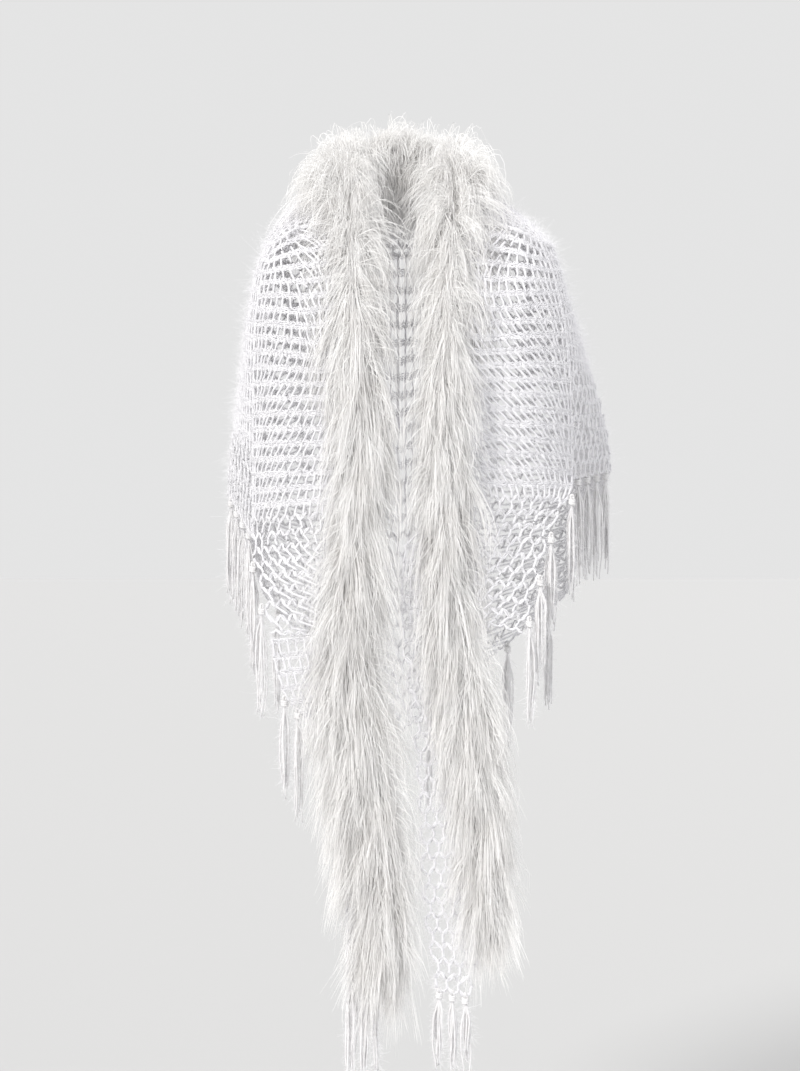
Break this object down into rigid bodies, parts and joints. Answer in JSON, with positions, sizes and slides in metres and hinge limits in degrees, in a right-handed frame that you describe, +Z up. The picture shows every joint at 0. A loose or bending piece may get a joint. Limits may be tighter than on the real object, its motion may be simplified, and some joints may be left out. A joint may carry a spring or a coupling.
{
  "type": "feather boa shawl",
  "caption": "Openwork net shawl edged with a long ostrich feather boa, with knotted yarn tassels along its hems; hangs from neck and shoulders.",
  "frame": {"origin": "on the wearer's neck axis at the height of the shoulder line", "axes": "+Z up, -Y the way the wearer faces, +X to the right as seen from the front"},
  "size_m": [0.5665, 0.3643, 1.3372],
  "materials": {
    "ostrich_feather": "soft silky down",
    "mohair_net": "fuzzy matte yarn",
    "tassel_yarn": "fuzzy matte yarn",
    "cotton_cord": "matte twisted cotton"
  },
  "bodies": {
    "shawl": {"binding_yarn_neck": "cotton_cord", "collar_inner_ply": "ostrich_feather", "collar_outer_ply": "ostrich_feather", "core_cord_neck": "cotton_cord", "left_front_inner_ply": "ostrich_feather", "left_front_outer_ply": "ostrich_feather", "net_back": "mohair_net", "net_left_front": "mohair_net", "net_left_shoulder": "mohair_net", "net_right_front": "mohair_net", "net_right_shoulder": "mohair_net", "net_right_turnback": "mohair_net", "net_upper_back": "mohair_net", "right_front_inner_ply": "ostrich_feather", "right_front_outer_ply": "ostrich_feather"},
    "left_tail": {"binding_yarn_left_tail": "cotton_cord", "core_cord_left_tail": "cotton_cord", "left_tail_inner_ply": "ostrich_feather", "left_tail_outer_ply": "ostrich_feather", "net_left_tail": "mohair_net", "left_end_binding": "cotton_cord"},
    "right_tail": {"binding_yarn_right_tail": "cotton_cord", "core_cord_right_tail": "cotton_cord", "net_right_tail": "mohair_net", "right_tail_inner_ply": "ostrich_feather", "right_tail_outer_ply": "ostrich_feather", "right_end_binding": "cotton_cord"},
    "left_wing": {"net_left_wing": "mohair_net"},
    "right_wing": {"net_right_wing": "mohair_net"},
    "left_wing_fringe": {"left_wing_tassel_1": "tassel_yarn", "left_wing_tassel_2": "tassel_yarn", "left_wing_tassel_3": "tassel_yarn", "left_wing_tassel_4": "tassel_yarn"},
    "right_wing_fringe": {"right_wing_tassel_1": "tassel_yarn", "right_wing_tassel_2": "tassel_yarn", "right_wing_tassel_3": "tassel_yarn", "right_wing_tassel_4": "tassel_yarn"},
    "back_left_fringe": {"back_left_tassel_1": "tassel_yarn", "back_left_tassel_2": "tassel_yarn", "back_left_tassel_3": "tassel_yarn", "back_left_tassel_4": "tassel_yarn"},
    "back_right_fringe": {"back_right_tassel_1": "tassel_yarn", "back_right_tassel_2": "tassel_yarn", "back_right_tassel_3": "tassel_yarn", "back_right_tassel_4": "tassel_yarn"},
    "left_hem_fringe": {"left_hem_tassel_1": "tassel_yarn", "left_hem_tassel_2": "tassel_yarn"},
    "left_tail_fringe": {"left_tail_tassel_1": "tassel_yarn", "left_tail_tassel_2": "tassel_yarn", "left_tail_tassel_3": "tassel_yarn"},
    "right_tail_fringe": {"right_tail_tassel_1": "tassel_yarn", "right_tail_tassel_2": "tassel_yarn", "right_tail_tassel_3": "tassel_yarn"},
    "left_front_tassel_1_hung": {"left_front_tassel_1": "tassel_yarn"},
    "left_front_tassel_2_hung": {"left_front_tassel_2": "tassel_yarn"},
    "right_front_tassel_1_hung": {"right_front_tassel_1": "tassel_yarn"},
    "right_front_tassel_2_hung": {"right_front_tassel_2": "tassel_yarn"},
    "right_front_tassel_3_hung": {"right_front_tassel_3": "tassel_yarn"},
    "right_front_tassel_4_hung": {"right_front_tassel_4": "tassel_yarn"}
  },
  "joints": [
    {"name": "left_tail_swing", "type": "hinge", "parent": "shawl", "child": "left_tail", "pos_m": [-0.07, -0.155, -0.638], "axis": [-1, 0, 0], "range_deg": [-15, 35]},
    {"name": "right_tail_swing", "type": "hinge", "parent": "shawl", "child": "right_tail", "pos_m": [0.083, -0.155, -0.638], "axis": [-1, 0, 0], "range_deg": [-15, 35]},
    {"name": "left_wing_lift", "type": "hinge", "parent": "shawl", "child": "left_wing", "pos_m": [-0.19237, 0, -0.0823], "axis": [0, 1, 0], "range_deg": [0, 40]},
    {"name": "right_wing_lift", "type": "hinge", "parent": "shawl", "child": "right_wing", "pos_m": [0.22433, 0, -0.0823], "axis": [0, -1, 0], "range_deg": [0, 40]},
    {"name": "left_wing_fringe_swing", "type": "hinge", "parent": "left_wing", "child": "left_wing_fringe", "pos_m": [-0.21391, -0.04209, -0.50133], "axis": [-0.2888, 0.8479, 0.4445], "range_deg": [-18, 18]},
    {"name": "right_wing_fringe_swing", "type": "hinge", "parent": "right_wing", "child": "right_wing_fringe", "pos_m": [0.25833, -0.0441, -0.42407], "axis": [0.4539, 0.8854, 0.1], "range_deg": [-18, 18]},
    {"name": "back_left_fringe_swing", "type": "hinge", "parent": "shawl", "child": "back_left_fringe", "pos_m": [-0.03695, 0.14166, -0.76979], "axis": [-0.6806, -0.1535, 0.7164], "range_deg": [-18, 18]},
    {"name": "back_right_fringe_swing", "type": "hinge", "parent": "shawl", "child": "back_right_fringe", "pos_m": [0.04483, 0.14194, -0.77023], "axis": [0.7588, -0.1365, 0.6369], "range_deg": [-18, 18]},
    {"name": "left_hem_fringe_swing", "type": "hinge", "parent": "left_tail", "child": "left_hem_fringe", "pos_m": [-0.15806, -0.155, -0.73426], "axis": [0.7278, 0, -0.6858], "range_deg": [-18, 18]},
    {"name": "left_tail_fringe_swing", "type": "hinge", "parent": "left_tail", "child": "left_tail_fringe", "pos_m": [-0.02976, -0.155, -1.11802], "axis": [-1, 0, 0.0039], "range_deg": [-18, 18]},
    {"name": "right_tail_fringe_swing", "type": "hinge", "parent": "right_tail", "child": "right_tail_fringe", "pos_m": [0.09403, -0.155, -1.14889], "axis": [-0.9791, 0, 0.2035], "range_deg": [-18, 18]},
    {"name": "left_front_tassel_1_swing", "type": "hinge", "parent": "shawl", "child": "left_front_tassel_1_hung", "pos_m": [-0.20506, -0.09457, -0.54833], "axis": [-1, 0, 0], "range_deg": [-18, 18]},
    {"name": "left_front_tassel_2_swing", "type": "hinge", "parent": "shawl", "child": "left_front_tassel_2_hung", "pos_m": [-0.19026, -0.14485, -0.60659], "axis": [-1, 0, 0], "range_deg": [-18, 18]},
    {"name": "right_front_tassel_1_swing", "type": "hinge", "parent": "shawl", "child": "right_front_tassel_1_hung", "pos_m": [0.24689, -0.08876, -0.4529], "axis": [-1, 0, 0], "range_deg": [-18, 18]},
    {"name": "right_front_tassel_2_swing", "type": "hinge", "parent": "shawl", "child": "right_front_tassel_2_hung", "pos_m": [0.21548, -0.12312, -0.50678], "axis": [-1, 0, 0], "range_deg": [-18, 18]},
    {"name": "right_front_tassel_3_swing", "type": "hinge", "parent": "shawl", "child": "right_front_tassel_3_hung", "pos_m": [0.19904, -0.14471, -0.56667], "axis": [-1, 0, 0], "range_deg": [-18, 18]},
    {"name": "right_front_tassel_4_swing", "type": "hinge", "parent": "shawl", "child": "right_front_tassel_4_hung", "pos_m": [0.18335, -0.15453, -0.62375], "axis": [-1, 0, 0], "range_deg": [-18, 18]}
  ]
}
